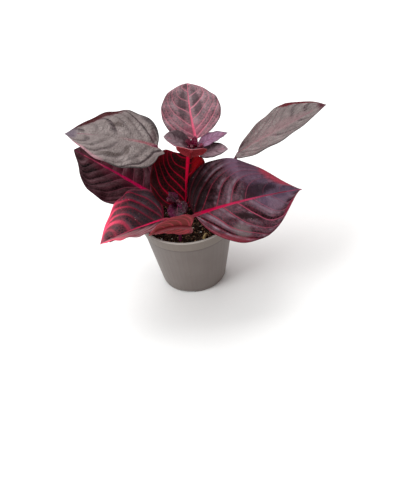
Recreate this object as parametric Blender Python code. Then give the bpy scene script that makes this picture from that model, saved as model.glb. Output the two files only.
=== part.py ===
# A young bloodleaf (Iresine) in a 6 cm nursery pot.
# The origin is the middle of the pot's base, on the surface that it stands on.
# +Z is up and -Y is the front. Every value below is in millimetres or degrees.

import math

import bmesh
import bpy
from mathutils import Vector, noise

MM = 0.001
GAP = 0.3
MERGE = 0.001
SHARP_ANGLE = 38

# Pot
POT_HEIGHT = 48.0
RIM_RADIUS = 30.0
BASE_RADIUS = 19.4
WALL = 1.1
BAND_HEIGHT = 7.4
BAND_STEP = 0.55
FLOOR_BOTTOM = 1.0
FLOOR_TOP = 2.1
INNER_FOOT = 3.0
FOOT_WIDTH = 2.8
PAD_RADIUS = 5.0
POT_SIDES = 48
NOTCH_COUNT = 4
NOTCH_TURN = 0.8
NOTCH_WIDTH = 9.0
NOTCH_HEIGHT = 1.3
DRAIN_COUNT = 6
DRAIN_RADIUS = 1.7
DRAIN_RING = 11.0
DRAIN_SIDES = 12

# Soil
SOIL_EDGE = 42.9
SOIL_DOME = 1.0
SOIL_RELIEF = 0.7
SOIL_RINGS = 8
SOIL_NOISE = 0.22

# Stems, as points of a smooth line with the stem's radius at its two ends
TALL_LINE = [(2, 11, 16), (2, 11, 43), (2.6, 11.6, 55), (3.4, 12.2, 65), (4.6, 12.8, 73.5), (6.4, 13.2, 79.5),
             (8.9, 12.9, 85.1)]
TALL_RADII = (1.75, 1.15)
SHORT_LINE = [(-6, -20, 26), (-6, -20, 43), (-5.4, -19.8, 50), (-4.6, -19.4, 57), (-4.2, -19, 63),
              (-4.3, -18.7, 69.4)]
SHORT_RADII = (1.45, 1.0)
STEM_STEPS = 14
STEM_NODE_SWELL = 0.25
STEM_SWELL_REACH = 2.5

# Leaves
BLADE_THICK = 0.7
MIN_HALF_WIDTH = 0.35
LOBE_REACH = 0.15
RIB_END = 0.86
RIB_END_RADIUS = 0.33
RIB_STEPS = 6
STALK_STEPS = 5
MIDRIB_STEPS = 320

# What every leaf shares unless its own line says otherwise. base is where the blade
# starts, heading and pitch say where its midrib sets off, bend and droop how far
# those turn by the tip. roll and twist turn the blade about its midrib. fold lifts
# both halves, curl bends each half on towards its margin. widest is the place of
# the greatest width along the midrib, and a larger taper gives a thinner tip.
COMMON = dict(bend=0, droop=-20, roll=0, twist=0, fold=12, skew=0, curl_left=-6, curl_right=-6,
              widest=0.42, taper=1.0, lobe=1.5, wave=0.7, waves=4, stalk=1.0, uneven=0)

# What the unfolding leaves of the two shoot tips share besides
TIP_HABIT = dict(wave=0.2, lobe=0.4, stalk=0.45, taper=0.9)

# Rows and columns of a blade's faces, and the length below which a leaf is a small one
LARGE_ROWS, LARGE_COLUMNS = 12, 8
SMALL_ROWS, SMALL_COLUMNS = 9, 6
TINY_ROWS, TINY_COLUMNS = 6, 4
SMALL_LENGTH = 30

TALL_LEAVES = {
    "leaf_upper_left": dict(
        base=(-12.9, 11.7, 91.3), joins=66, approach=95, heading=175, pitch=26, length=56.5, width=50,
        uneven=0.03, bend=-12, droop=-30, roll=-7, twist=6, fold=9, skew=1, curl_left=-17, curl_right=-8,
        widest=0.36, taper=1.16, lobe=5.5, stalk=1.15),
    "leaf_upper_right": dict(
        base=(36, 28, 66.8), joins=55, approach=66, heading=-3, pitch=32, length=62.5, width=47, uneven=0.02,
        bend=7, droop=-12, roll=-14, twist=12, fold=10, skew=-2, curl_left=-2, curl_right=-8,
        widest=0.44, taper=1.17, lobe=1, stalk=1.1),
    "leaf_middle_left": dict(
        base=(-20.7, 15, 54.9), joins=51, heading=145, pitch=20, length=54, width=44, uneven=0.01,
        bend=4, droop=1, roll=-6, twist=-12, fold=13, curl_left=-18, curl_right=-10,
        widest=0.43, taper=1.11, lobe=5, stalk=1.1),
    "leaf_middle_right": dict(
        base=(12, 18, 53.5), joins=48, heading=50, pitch=-10, length=32, width=26,
        droop=-24, roll=2, fold=8, curl_left=-8, curl_right=-10, stalk=0.9),
    "leaf_low_back": dict(
        base=(0.5, 23, 54.5), joins=49, heading=98, pitch=0, length=38, width=32,
        droop=-36, fold=9, curl_left=-10, curl_right=-10, stalk=0.9),
    "leaf_top_back": dict(
        base=(11.2, 23.4, 84.9), joins=78, approach=62, heading=97, pitch=30, length=41.5, width=37.5,
        uneven=-0.02, bend=-12, droop=-15, roll=-5, twist=13, fold=18, skew=-1, curl_left=-4,
        curl_right=-10, widest=0.43, taper=0.86, lobe=0.5, stalk=0.85),
    "leaf_top_front": dict(
        base=(6.5, 2.3, 87.4), joins=84, approach=0, heading=272, pitch=64, length=20.5, width=17.5,
        uneven=-0.1, bend=4, droop=-34, roll=-14, fold=9, curl_left=4, curl_right=6, widest=0.43, taper=0.85,
        lobe=1.4, wave=0.4, stalk=0.7),
    "leaf_top_left": dict(
        base=(6.1, 14, 85.8), joins=83.5, heading=172, pitch=44, length=17, width=17, droop=-23, roll=1,
        twist=-7, fold=16, curl_left=-3, curl_right=-5, taper=0.79, wave=0.4, stalk=0.55),
    "leaf_top_right": dict(
        base=(12.6, 10.5, 82.7), joins=82.5, heading=-7, pitch=18, length=16.5, width=13, twist=6, fold=10,
        curl_left=-11, curl_right=-12, taper=0.84, lobe=1, wave=0.4, stalk=0.55),
    "leaf_top_rear_right": dict(
        base=(13.3, 13.3, 86.7), joins=83, heading=24, pitch=22, length=19, width=10.5, droop=-34,
        fold=14, skew=-1, lobe=1, wave=0.3, stalk=0.5),
}

SHORT_LEAVES = {
    "leaf_short_back": dict(
        base=(-0.4, -11.1, 61.3), joins=57, heading=75.5, pitch=53, length=31.5, width=38.5, uneven=0.08,
        bend=-4.5, droop=-6, roll=10, twist=-9, fold=-17, skew=27, curl_left=-4, curl_right=-26, widest=0.54,
        taper=0.19, lobe=1.4, wave=0.5, stalk=0.8),
    "leaf_short_left": dict(
        base=(-14.5, -17, 58), joins=54.5, heading=182, pitch=-10, length=41, width=47, uneven=-0.07,
        bend=2, droop=-10, roll=-5, twist=17, fold=23, skew=1, curl_left=1, curl_right=9,
        widest=0.4, taper=1.12, lobe=4, stalk=1.0),
    "leaf_short_right": dict(
        base=(4.6, -22.2, 62.5), joins=54, heading=28.5, pitch=-8.5, length=75, width=60, uneven=-0.01,
        bend=-8.5, droop=-5, roll=40, twist=-8, fold=11.5, skew=-18.5, curl_left=13, curl_right=-19.5,
        widest=0.38, taper=1.37, lobe=3.2, stalk=1.2),
    "leaf_short_front": dict(
        base=(0.8, -31, 61), joins=51, approach=70, heading=194, pitch=34, length=26.5, width=16.5,
        uneven=0.18, droop=-56, roll=74, twist=-14, fold=4, skew=6, curl_left=-8, curl_right=-14,
        widest=0.2, taper=0.9, lobe=3, wave=0.3, stalk=0.7),
}

TALL_BUD = dict(place=(9.1, 12.8, 86.7), radius=1.0, height=2.6)
TALL_TIP_LEAVES = [
    dict(base=(9.7, 13.2, 87.8), heading=60, pitch=80, length=6.5, width=4),
    dict(base=(9.1, 11.6, 87.8), heading=250, pitch=66, length=7, width=5),
    dict(base=(10.2, 12.1, 87.8), heading=-25, pitch=62, length=6, width=3.6),
]
SHORT_BUD = dict(place=(-4.3, -18.6, 71.3), radius=1.2, height=3.2)
SHORT_TIP_LEAVES = [
    dict(base=(-4.5, -19.6, 71.4), heading=258, pitch=2, length=10.5, width=12.5, roll=4, droop=-62),
    dict(base=(-4.7, -18.2, 71.8), heading=118, pitch=74, length=9, width=9.5, droop=-4),
    dict(base=(-3.4, -19.4, 71.4), heading=300, pitch=6, length=7.5, width=5.5, droop=-70),
    dict(base=(-5.2, -18.9, 71.6), heading=196, pitch=48, length=7.5, width=6, droop=-20),
]

# Colours, roughness and metallic value of each material
COLOURS = {
    "pot": ((0.23, 0.205, 0.185), 0.45),
    "soil": ((0.02, 0.014, 0.011), 0.95),
    "stem": ((0.42, 0.02, 0.07), 0.4),
    "dark_leaf": ((0.05, 0.018, 0.03), 0.35),
    "grey_leaf": ((0.16, 0.12, 0.11), 0.4),
    "young_leaf": ((0.17, 0.07, 0.09), 0.38),
    "purple_leaf": ((0.16, 0.03, 0.10), 0.38),
}
LEAF_COLOURS = {
    "leaf_upper_left": "grey_leaf", "leaf_upper_right": "grey_leaf", "leaf_top_back": "young_leaf",
    "leaf_top_left": "young_leaf", "leaf_top_right": "young_leaf", "leaf_top_front": "young_leaf",
    "leaf_top_rear_right": "purple_leaf",
}


def clear_scene():
    for item in list(bpy.data.objects):
        bpy.data.objects.remove(item)


def material(name):
    made = bpy.data.materials.get(name)
    if made:
        return made
    colour, rough = COLOURS[name]
    made = bpy.data.materials.new(name)
    made.use_nodes = True
    shader = made.node_tree.nodes["Principled BSDF"]
    shader.inputs["Base Color"].default_value = (*colour, 1)
    shader.inputs["Roughness"].default_value = rough
    shader.inputs["Metallic"].default_value = 0
    return made


def add_object(name, mesh, finish=None):
    made = bpy.data.objects.new(name, mesh)
    bpy.context.scene.collection.objects.link(made)
    if finish:
        mesh.materials.clear()
        mesh.materials.append(material(finish))
        mesh.shade_smooth()
        mesh.set_sharp_from_angle(angle=math.radians(SHARP_ANGLE))
    return made


def mesh_from(bm, name):
    bmesh.ops.recalc_face_normals(bm, faces=bm.faces)
    mesh = bpy.data.meshes.new(name)
    bm.to_mesh(mesh)
    bm.free()
    return mesh


def finished_mesh(item):
    """The object's mesh with its modifiers applied."""
    view = bpy.context.evaluated_depsgraph_get()
    return bpy.data.meshes.new_from_object(item.evaluated_get(view))


def split_faces(mesh):
    """Cut every face in triangles, so that each one is flat."""
    bm = bmesh.new()
    bm.from_mesh(mesh)
    bmesh.ops.triangulate(bm, faces=bm.faces)
    bm.to_mesh(mesh)
    bm.free()


def union(name, pieces, finish):
    """Join the pieces in one closed body, and remove what it was made from."""
    for piece in pieces:
        split_faces(piece.data)
    group = bpy.data.collections.new(name + "_parts")
    first, rest = pieces[0], pieces[1:]
    for piece in rest:
        group.objects.link(piece)
    join = first.modifiers.new("join", "BOOLEAN")
    join.operation = "UNION"
    join.operand_type = "COLLECTION"
    join.collection = group
    join.solver = "EXACT"
    mesh = finished_mesh(first)
    if len(mesh.polygons) < len(first.data.polygons):
        join.solver = "MANIFOLD"
        mesh = finished_mesh(first)
    for piece in pieces:
        bpy.data.objects.remove(piece)
    bpy.data.collections.remove(group)
    return add_object(name, mesh, finish)


def lathe(name, profile, sides):
    """Turn a profile of (radius, height) points, which starts and ends on the axis."""
    bm = bmesh.new()
    points = [bm.verts.new((r * MM, 0, z * MM)) for r, z in profile]
    edges = [bm.edges.new(pair) for pair in zip(points, points[1:])]
    bmesh.ops.spin(bm, geom=points + edges, cent=(0, 0, 0), axis=(0, 0, 1),
                   angle=2 * math.pi, steps=sides, use_merge=True)
    bmesh.ops.remove_doubles(bm, verts=bm.verts, dist=MERGE * MM)
    bmesh.ops.dissolve_degenerate(bm, edges=bm.edges, dist=MERGE * MM)
    return mesh_from(bm, name)


def wall_radius(z):
    """Outer radius of the pot's tapered wall at a height."""
    top = RIM_RADIUS - 0.4 - BAND_STEP
    return BASE_RADIUS + (top - BASE_RADIUS) * z / POT_HEIGHT


def inner_radius(z):
    return wall_radius(z) - WALL * (1 if z < POT_HEIGHT - BAND_HEIGHT else 0.7)


def cut(item, cutters):
    for cutter in cutters:
        cutter.hide_render = True
        cutter.display_type = "WIRE"
        step = item.modifiers.new(cutter.name, "BOOLEAN")
        step.operation = "DIFFERENCE"
        step.solver = "EXACT"
        step.object = cutter


def block_cutter(name, size, place, turn):
    bm = bmesh.new()
    bmesh.ops.create_cube(bm, size=1)
    bmesh.ops.scale(bm, vec=[s * MM for s in size], verts=bm.verts)
    cutter = add_object(name, mesh_from(bm, name))
    cutter.location = [c * MM for c in place]
    cutter.rotation_euler = (0, 0, turn)
    return cutter


def round_cutter(name, radius, low, high, x, y):
    bm = bmesh.new()
    bmesh.ops.create_cone(bm, cap_ends=True, segments=DRAIN_SIDES, radius1=radius * MM, radius2=radius * MM,
                          depth=(high - low) * MM)
    cutter = add_object(name, mesh_from(bm, name))
    cutter.location = (x * MM, y * MM, (low + high) / 2 * MM)
    return cutter


def build_pot():
    band = POT_HEIGHT - BAND_HEIGHT
    foot = BASE_RADIUS - 0.2
    outer = [
        (RIM_RADIUS - 1.0, POT_HEIGHT), (RIM_RADIUS - 0.3, POT_HEIGHT),
        (RIM_RADIUS, POT_HEIGHT - 0.35), (RIM_RADIUS, POT_HEIGHT - 1.0),
        (RIM_RADIUS - 0.35, POT_HEIGHT - 1.35), (wall_radius(band) + BAND_STEP, band),
        (wall_radius(band), band - 0.35), (wall_radius(1.4), 1.4), (foot, 0.4), (foot - 0.4, 0),
    ]
    under = [(foot - FOOT_WIDTH, 0), (foot - FOOT_WIDTH - 0.3, FLOOR_BOTTOM),
             (PAD_RADIUS + 0.4, FLOOR_BOTTOM), (PAD_RADIUS, 0), (0, 0)]
    inner = [(RIM_RADIUS - 1.35, POT_HEIGHT - 0.4), (inner_radius(band + 0.5), band + 0.5),
             (inner_radius(band - 0.5), band - 0.5), (inner_radius(INNER_FOOT), 3),
             (inner_radius(INNER_FOOT) - 0.8, FLOOR_TOP), (0, FLOOR_TOP)]
    profile = [(0, FLOOR_TOP)] + inner[-2::-1] + outer + under
    pot = add_object("pot", lathe("pot", profile, POT_SIDES), "pot")
    cutters = []
    for i in range(NOTCH_COUNT):
        turn = 2 * math.pi * (i + NOTCH_TURN) / NOTCH_COUNT
        reach = BASE_RADIUS - 1.5
        place = (reach * math.cos(turn), reach * math.sin(turn), 0)
        size = (5, NOTCH_WIDTH, 2 * NOTCH_HEIGHT)
        cutters.append(block_cutter("notch_cutter_%d" % i, size, place, turn))
    for i in range(DRAIN_COUNT):
        turn = 2 * math.pi * i / DRAIN_COUNT
        x, y = DRAIN_RING * math.cos(turn), DRAIN_RING * math.sin(turn)
        cutters.append(round_cutter("drain_cutter_%d" % i, DRAIN_RADIUS, 0, 3, x, y))
    cut(pot, cutters)


def build_soil():
    wall = [(0, FLOOR_TOP + GAP), (inner_radius(INNER_FOOT) - 1.0 - GAP, FLOOR_TOP + GAP)]
    wall += [(inner_radius(z) - GAP, z) for z in (3.6, 20, 36)]
    wall.append((inner_radius(SOIL_EDGE) - GAP, SOIL_EDGE))
    edge = wall[-1][0]
    top = []
    for i in range(1, SOIL_RINGS + 1):
        part = i / SOIL_RINGS
        top.append((edge * (1 - part), SOIL_EDGE + SOIL_DOME * math.sin(part * math.pi / 2)))
    mesh = lathe("soil", wall + top, POT_SIDES)
    for vert in mesh.vertices:
        radius = math.hypot(vert.co.x, vert.co.y) / MM
        if vert.co.z > (SOIL_EDGE - 0.5) * MM and radius < edge - 0.5:
            vert.co.z += SOIL_RELIEF * MM * noise.noise(vert.co * (SOIL_NOISE / MM))
    split_faces(mesh)
    soil = add_object("soil", mesh, "soil")
    cutters = []
    for name, line, radii in (("tall", TALL_LINE, TALL_RADII), ("short", SHORT_LINE, SHORT_RADII)):
        x, y, low = line[0]
        cutters.append(round_cutter(name + "_stem_hole", radii[0] + GAP + 0.15, low - GAP, 60, x, y))
    cut(soil, cutters)


def smooth_line(points, steps):
    """Evenly stepped points on a Catmull-Rom curve through the given points."""
    points = [Vector(p) for p in points]
    ends = [2 * points[0] - points[1]] + points + [2 * points[-1] - points[-2]]
    line = []
    for i in range(steps + 1):
        at = (len(points) - 1) * i / steps
        k = min(int(at), len(points) - 2)
        t = at - k
        a, b, c, d = ends[k:k + 4]
        line.append(0.5 * (2 * b + (c - a) * t + (2 * a - 5 * b + 4 * c - d) * t ** 2
                           + (3 * b - a - 3 * c + d) * t ** 3))
    return line


def tube(name, points, radii, sides_level, finish=None):
    """A round tube through the points, with a radius at each, made from a bevelled curve."""
    curve = bpy.data.curves.new(name, "CURVE")
    curve.dimensions = "3D"
    curve.bevel_depth = MM
    curve.bevel_resolution = sides_level
    curve.use_fill_caps = True
    spline = curve.splines.new("POLY")
    spline.points.add(len(points) - 1)
    for spot, point, radius in zip(spline.points, points, radii):
        spot.co = (*(Vector(point) * MM), 1)
        spot.radius = radius
    guide = add_object(name + "_guide", curve)
    bm = bmesh.new()
    bm.from_mesh(finished_mesh(guide))
    bpy.data.objects.remove(guide)
    bmesh.ops.remove_doubles(bm, verts=bm.verts, dist=MERGE * MM)
    return add_object(name, mesh_from(bm, name), finish)


def stem_point(line, height):
    """Where a stem's centre line passes a height."""
    fine = smooth_line(line, 120)
    return min(fine, key=lambda p: abs(p.z - height))


def stem_radius(line, radii, height):
    low, high = line[1][2], line[-1][2]
    part = min(max((height - low) / (high - low), 0), 1)
    return radii[0] + (radii[1] - radii[0]) * part


def build_stem(name, line, radii, joints):
    points = smooth_line(line, STEM_STEPS)
    sizes = []
    for point in points:
        near = min(abs(point.z - height) for height in joints)
        swell = STEM_NODE_SWELL * math.exp(-(near / STEM_SWELL_REACH) ** 2) if point.z > line[1][2] else 0
        sizes.append(stem_radius(line, radii, point.z) * (1 + 0.5 * swell))
    tube(name, points, sizes, 2, "stem")


def half_width(leaf, u, side):
    """Half of the blade's width on one side, at a share u of the way along the midrib."""
    peak = leaf["widest"]
    if u < peak:
        shape = math.sqrt(max(1 - ((peak - u) / peak) ** 2.4, 0))
    else:
        shape = max(1 - ((u - peak) / (1 - peak)) ** 2, 0) ** leaf["taper"]
    return leaf["width"] / 2 * (1 + leaf["uneven"] * side) * shape


def midrib(leaf):
    """Place, direction, side and upward vectors at even shares along the midrib."""
    frames = []
    place = Vector(leaf["base"])
    for i in range(MIDRIB_STEPS + 1):
        u = i / MIDRIB_STEPS
        turn = math.radians(leaf["heading"] + leaf["bend"] * u)
        rise = math.radians(leaf["pitch"] + leaf["droop"] * u)
        along = Vector((math.cos(rise) * math.cos(turn), math.cos(rise) * math.sin(turn), math.sin(rise)))
        if i:
            place = place + along * leaf["length"] / MIDRIB_STEPS
        side = Vector((-math.sin(turn), math.cos(turn), 0))
        lift = along.cross(side)
        roll = math.radians(leaf["roll"] + leaf["twist"] * u)
        side, lift = (side * math.cos(roll) + lift * math.sin(roll),
                      lift * math.cos(roll) - side * math.sin(roll))
        frames.append((u, place.copy(), along, side, lift))
    return frames


def frame_at(frames, u):
    return frames[round(u * (len(frames) - 1))]


def blade_point(leaf, frames, u, v):
    """A point of the blade's middle surface; v runs from -1, right margin, to 1, left margin."""
    _, place, along, side, lift = frame_at(frames, u)
    hand = 1 if v > 0 else -1
    full = leaf["width"] / 2 * (1 + leaf["uneven"] * hand)
    half = max(half_width(leaf, u, hand), MIN_HALF_WIDTH)
    out = abs(v) * half
    start = math.radians(leaf["fold"] + leaf["skew"] * hand)
    curl = math.radians(leaf["curl_left"] if hand > 0 else leaf["curl_right"]) / full
    if abs(curl) * full > 0.001:
        across = (math.sin(start + curl * out) - math.sin(start)) / curl
        up = (math.cos(start) - math.cos(start + curl * out)) / curl
    else:
        across, up = out * math.cos(start), out * math.sin(start)
    shape = half / full
    back = leaf["lobe"] * v * v * shape * math.exp(-u / LOBE_REACH)
    ripple = leaf["wave"] * abs(v) ** 3 * shape * math.sin(2 * math.pi * leaf["waves"] * u + 1.7 * hand)
    return place + side * (hand * across) + lift * (up + ripple) - along * back


def blade(name, leaf, rows, columns):
    frames = midrib(leaf)
    bm = bmesh.new()
    grid = []
    for i in range(rows + 1):
        u = (1 - math.cos(math.pi * i / rows)) / 2
        row = []
        for j in range(columns + 1):
            v = 2 * j / columns - 1
            row.append(bm.verts.new(blade_point(leaf, frames, u, v) * MM))
        grid.append(row)
    for i in range(rows):
        for j in range(columns):
            a, b, c, d = grid[i][j], grid[i + 1][j], grid[i + 1][j + 1], grid[i][j + 1]
            if j < columns / 2:
                bm.faces.new((a, b, c))
                bm.faces.new((a, c, d))
            else:
                bm.faces.new((a, b, d))
                bm.faces.new((b, c, d))
    sheet = add_object(name + "_blade", mesh_from(bm, name))
    skin = sheet.modifiers.new("thickness", "SOLIDIFY")
    skin.thickness = BLADE_THICK * MM
    skin.offset = 0
    mesh = finished_mesh(sheet)
    bpy.data.objects.remove(sheet)
    return add_object(name + "_blade", mesh)


def rib(name, leaf, start, away):
    """The stalk from the stem to the blade, and the midrib under the blade, as one tube."""
    frames = midrib(leaf)
    thick = leaf["stalk"]
    points, radii = [], []
    base, along = frames[0][1], frames[0][2]
    reach = (base - start).length
    rise = math.radians(leaf.get("approach", leaf["pitch"]))
    level = Vector((along.x, along.y, 0)).normalized()
    arrive = level * math.cos(rise) + Vector((0, 0, math.sin(rise)))
    first, second = start + away * reach * 0.4, base - arrive * reach * 0.45
    for i in range(STALK_STEPS):
        t = i / STALK_STEPS
        points.append(start * (1 - t) ** 3 + first * 3 * t * (1 - t) ** 2
                      + second * 3 * t * t * (1 - t) + base * t ** 3)
        radii.append(thick * (1.15 - 0.15 * t))
    for i in range(RIB_STEPS + 1):
        u = RIB_END * i / RIB_STEPS
        _, place, _, _, lift = frame_at(frames, u)
        radius = thick + (RIB_END_RADIUS - thick) * (i / RIB_STEPS) ** 0.7
        points.append(place - lift * (0.55 * radius))
        radii.append(radius)
    return tube(name + "_rib", points, radii, 1)


def build_leaf(name, own, line, radii):
    leaf = dict(COMMON, **own)
    centre = stem_point(line, leaf["joins"])
    toward = Vector(leaf["base"]) - centre
    toward.z = 0
    toward.normalize()
    clear = stem_radius(line, radii, leaf["joins"]) * (1 + STEM_NODE_SWELL) + GAP
    start = centre + toward * (clear + 0.6 * leaf["stalk"])
    away = (toward + Vector((0, 0, 0.6))).normalized()
    small = leaf["length"] < SMALL_LENGTH
    rows, columns = (SMALL_ROWS, SMALL_COLUMNS) if small else (LARGE_ROWS, LARGE_COLUMNS)
    pieces = [blade(name, leaf, rows, columns), rib(name, leaf, start, away)]
    union(name, pieces, LEAF_COLOURS.get(name, "dark_leaf"))


def build_tip(name, bud, leaves, finish):
    """The young leaves at a shoot's end, grown together round its bud."""
    bm = bmesh.new()
    bmesh.ops.create_icosphere(bm, subdivisions=1, radius=bud["radius"] * MM)
    bmesh.ops.scale(bm, vec=(1, 1, bud["height"] / (2 * bud["radius"])), verts=bm.verts)
    bmesh.ops.translate(bm, vec=Vector(bud["place"]) * MM, verts=bm.verts)
    pieces = [add_object(name + "_bud", mesh_from(bm, name))]
    for i, own in enumerate(leaves):
        leaf = dict(COMMON, **dict(TIP_HABIT, **own))
        along = midrib(leaf)[0][2]
        start = Vector(bud["place"])
        part = "%s_%d" % (name, i)
        pieces.append(blade(part, leaf, TINY_ROWS, TINY_COLUMNS))
        pieces.append(rib(part, leaf, start, along))
    union(name, pieces, finish)


def build_plant():
    for shoot, line, radii, leaves in (("tall_stem", TALL_LINE, TALL_RADII, TALL_LEAVES),
                                       ("short_stem", SHORT_LINE, SHORT_RADII, SHORT_LEAVES)):
        build_stem(shoot, line, radii, [leaf["joins"] for leaf in leaves.values()])
        for name, leaf in leaves.items():
            build_leaf(name, leaf, line, radii)
    build_tip("tall_shoot_tip", TALL_BUD, TALL_TIP_LEAVES, "purple_leaf")
    build_tip("short_shoot_tip", SHORT_BUD, SHORT_TIP_LEAVES, "purple_leaf")


clear_scene()
build_pot()
build_soil()
build_plant()
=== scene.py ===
import math
from types import SimpleNamespace

import bmesh
import bpy
import numpy as np
from mathutils import Matrix, Vector, noise


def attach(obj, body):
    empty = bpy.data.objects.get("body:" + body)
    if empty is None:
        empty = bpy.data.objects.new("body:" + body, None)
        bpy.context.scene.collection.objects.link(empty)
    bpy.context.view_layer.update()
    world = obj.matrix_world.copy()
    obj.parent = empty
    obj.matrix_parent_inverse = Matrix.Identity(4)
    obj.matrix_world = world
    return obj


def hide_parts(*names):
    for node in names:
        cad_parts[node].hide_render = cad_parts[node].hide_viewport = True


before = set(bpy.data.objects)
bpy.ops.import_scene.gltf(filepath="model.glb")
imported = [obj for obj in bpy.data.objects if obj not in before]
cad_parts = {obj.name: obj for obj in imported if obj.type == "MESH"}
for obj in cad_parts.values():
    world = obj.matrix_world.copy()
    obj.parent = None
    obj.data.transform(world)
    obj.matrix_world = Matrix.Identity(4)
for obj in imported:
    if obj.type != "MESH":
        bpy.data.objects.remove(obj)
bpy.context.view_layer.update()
mm = 0.001
print("frame loaded:", len(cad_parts), "nodes")


# sums on sockets, and one method for every node

def operator(kind, reflected=False):
    if reflected:
        return lambda self, other: self.graph.sum(kind, other, self)
    return lambda self, *other: self.graph.sum(kind, self, *other)


class Wire:
    __add__, __radd__ = operator("ADD"), operator("ADD", True)
    __sub__, __rsub__ = operator("SUBTRACT"), operator("SUBTRACT", True)
    __mul__, __rmul__ = operator("MULTIPLY"), operator("MULTIPLY", True)
    __truediv__, __rtruediv__ = operator("DIVIDE"), operator("DIVIDE", True)
    __pow__, __rpow__ = operator("POWER"), operator("POWER", True)
    __abs__, sign = operator("ABSOLUTE"), operator("SIGN")
    fract, floor = operator("FRACT"), operator("FLOOR")

    def __init__(self, graph, socket):
        self.graph, self.socket = graph, socket

    def rise(self, low, high, start=0.0, end=1.0):  # smooth step from low to high
        return self.graph.wire("ShaderNodeMapRange", {"interpolation_type": "SMOOTHSTEP"},
                               {0: self, 1: low, 2: high, 3: start, 4: end})


class Graph:
    def __init__(self, tree):
        self.tree = tree

    def add(self, kind, settings=None, sockets=None):
        node = self.tree.nodes.new(kind)
        for key, value in (settings or {}).items():
            setattr(node, key, value)
        self.feed(node, sockets or {})
        return node

    def feed(self, node, sockets):
        for key, value in sockets.items():
            if isinstance(value, Wire):
                self.tree.links.new(value.socket, node.inputs[key])
            else:
                node.inputs[key].default_value = value

    def wire(self, kind, settings=None, sockets=None, out=0):
        return Wire(self, self.add(kind, settings, sockets).outputs[out])

    def sum(self, operation, *parts):
        return self.wire("ShaderNodeMath", {"operation": operation}, dict(enumerate(parts)))

    def scaled(self, vector, amount):
        return self.wire("ShaderNodeVectorMath", {"operation": "SCALE"}, {0: vector, 3: amount})


class Finish(Graph):  # a material; its sizes and depths are in mm
    def __init__(self, name):
        self.material = bpy.data.materials.new(name)
        self.material.use_nodes = True
        super().__init__(self.material.node_tree)
        self.place = self.wire("ShaderNodeTexCoord", out=3)

    def height(self):
        return self.wire("ShaderNodeSeparateXYZ", None, {0: self.place}, out=2) / mm

    def colour(self, factor, first, second):
        first, second = [c if isinstance(c, Wire) else (*c, 1) for c in (first, second)]
        return self.wire("ShaderNodeMix", {"data_type": "RGBA"}, {0: factor, 6: first, 7: second}, out=2)

    def speckle(self, size, detail, rough=0.5, twist=0.0, stretch=None):
        place = self.place
        if stretch:
            place = self.wire("ShaderNodeMapping", None, {0: place, 3: stretch})
        return self.wire("ShaderNodeTexNoise", None, {"Vector": place, "Scale": 1 / (size * mm),
                         "Detail": detail, "Roughness": rough, "Distortion": twist})

    def cracks(self, size):  # distance from the nearest border between cells
        return self.wire("ShaderNodeTexVoronoi", {"feature": "DISTANCE_TO_EDGE"},
                         {"Vector": self.place, "Scale": 1 / (size * mm)})

    def cells(self, size):  # a chance value for each cell, and the distance from its middle
        cell = self.add("ShaderNodeTexVoronoi", None, {"Vector": self.place, "Scale": 1 / (size * mm)})
        chance = self.wire("ShaderNodeSeparateColor", None, {0: Wire(self, cell.outputs["Color"])})
        return chance, Wire(self, cell.outputs["Distance"])

    def attribute(self, name):
        vector = self.wire("ShaderNodeAttribute", {"attribute_name": name}, out=1)
        split = self.add("ShaderNodeSeparateXYZ", None, {0: vector})
        return [Wire(self, socket) for socket in split.outputs]

    def finish(self, colour, rough, relief=None, depth=0.0, shine=0.5):
        sockets = {"Base Color": colour, "Roughness": rough, "Specular IOR Level": shine}
        if relief:
            bump = {"Strength": 1.0, "Distance": depth * mm, "Height": relief}
            sockets["Normal"] = self.wire("ShaderNodeBump", None, bump)
        self.feed(self.tree.nodes["Principled BSDF"], sockets)
        return self.material


class Recipe(Graph):  # a Geometry Nodes tree
    def __init__(self, name, **sizes):
        super().__init__(bpy.data.node_groups.new(name, "GeometryNodeTree"))
        self.face("Geometry", "Geometry")
        for key, value in sizes.items():
            self.face(key, "Int" if isinstance(value, int) else "Float").default_value = value
        self.face("Material", "Material")
        self.face("Geometry", "Geometry", "OUTPUT")
        self.inlet = self.tree.nodes.new("NodeGroupInput")
        self.outlet = self.tree.nodes.new("NodeGroupOutput")

    def face(self, name, kind, way="INPUT"):
        return self.tree.interface.new_socket(name, in_out=way, socket_type="NodeSocket" + kind)

    def given(self, name):
        return Wire(self, self.inlet.outputs[name])

    def chance(self, least, most, seed):
        return self.wire("FunctionNodeRandomValue", {"data_type": "FLOAT_VECTOR"},
                         {0: least, 1: most, "Seed": seed})

    def end(self, geometry):
        real = self.wire("GeometryNodeRealizeInstances", None, {0: geometry})
        painted = self.wire("GeometryNodeSetMaterial", None, {0: real, "Material": self.given("Material")})
        self.feed(self.outlet, {0: painted})

    def run(self, item, **values):  # the item's mesh after this tree, and the item is used up
        step = item.modifiers.new(self.tree.name, "NODES")
        step.node_group = self.tree
        for socket in self.tree.interface.items_tree:
            if socket.in_out == "INPUT" and socket.name in values:
                step[socket.identifier] = values[socket.name]
        state = bpy.context.evaluated_depsgraph_get()
        mesh = bpy.data.meshes.new_from_object(item.evaluated_get(state))
        bpy.data.objects.remove(item)
        return mesh


def addObject(name, data):
    made = bpy.data.objects.new(name, data)
    bpy.context.scene.collection.objects.link(made)
    return made


def joined(name, meshes):  # several meshes as one, each with its own materials
    parts = [addObject(name, mesh) for mesh in meshes]
    with bpy.context.temp_override(active_object=parts[0], selected_editable_objects=parts):
        bpy.ops.object.join()
    parts[0].name = parts[0].data.name = name
    return parts[0]


def settle(item, node):
    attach(item, "root")
    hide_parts(node)


# camera, floor and light: places in metres, angles in degrees

view = dict(
    rise=38.0, roll=-7.4, distance=0.9, aim=(0, 0, 0.048), pixelsPerMm=1.64, aimPixel=(186.9, 212.5),
    picture=(400, 500), sensor=36.0)


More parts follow.
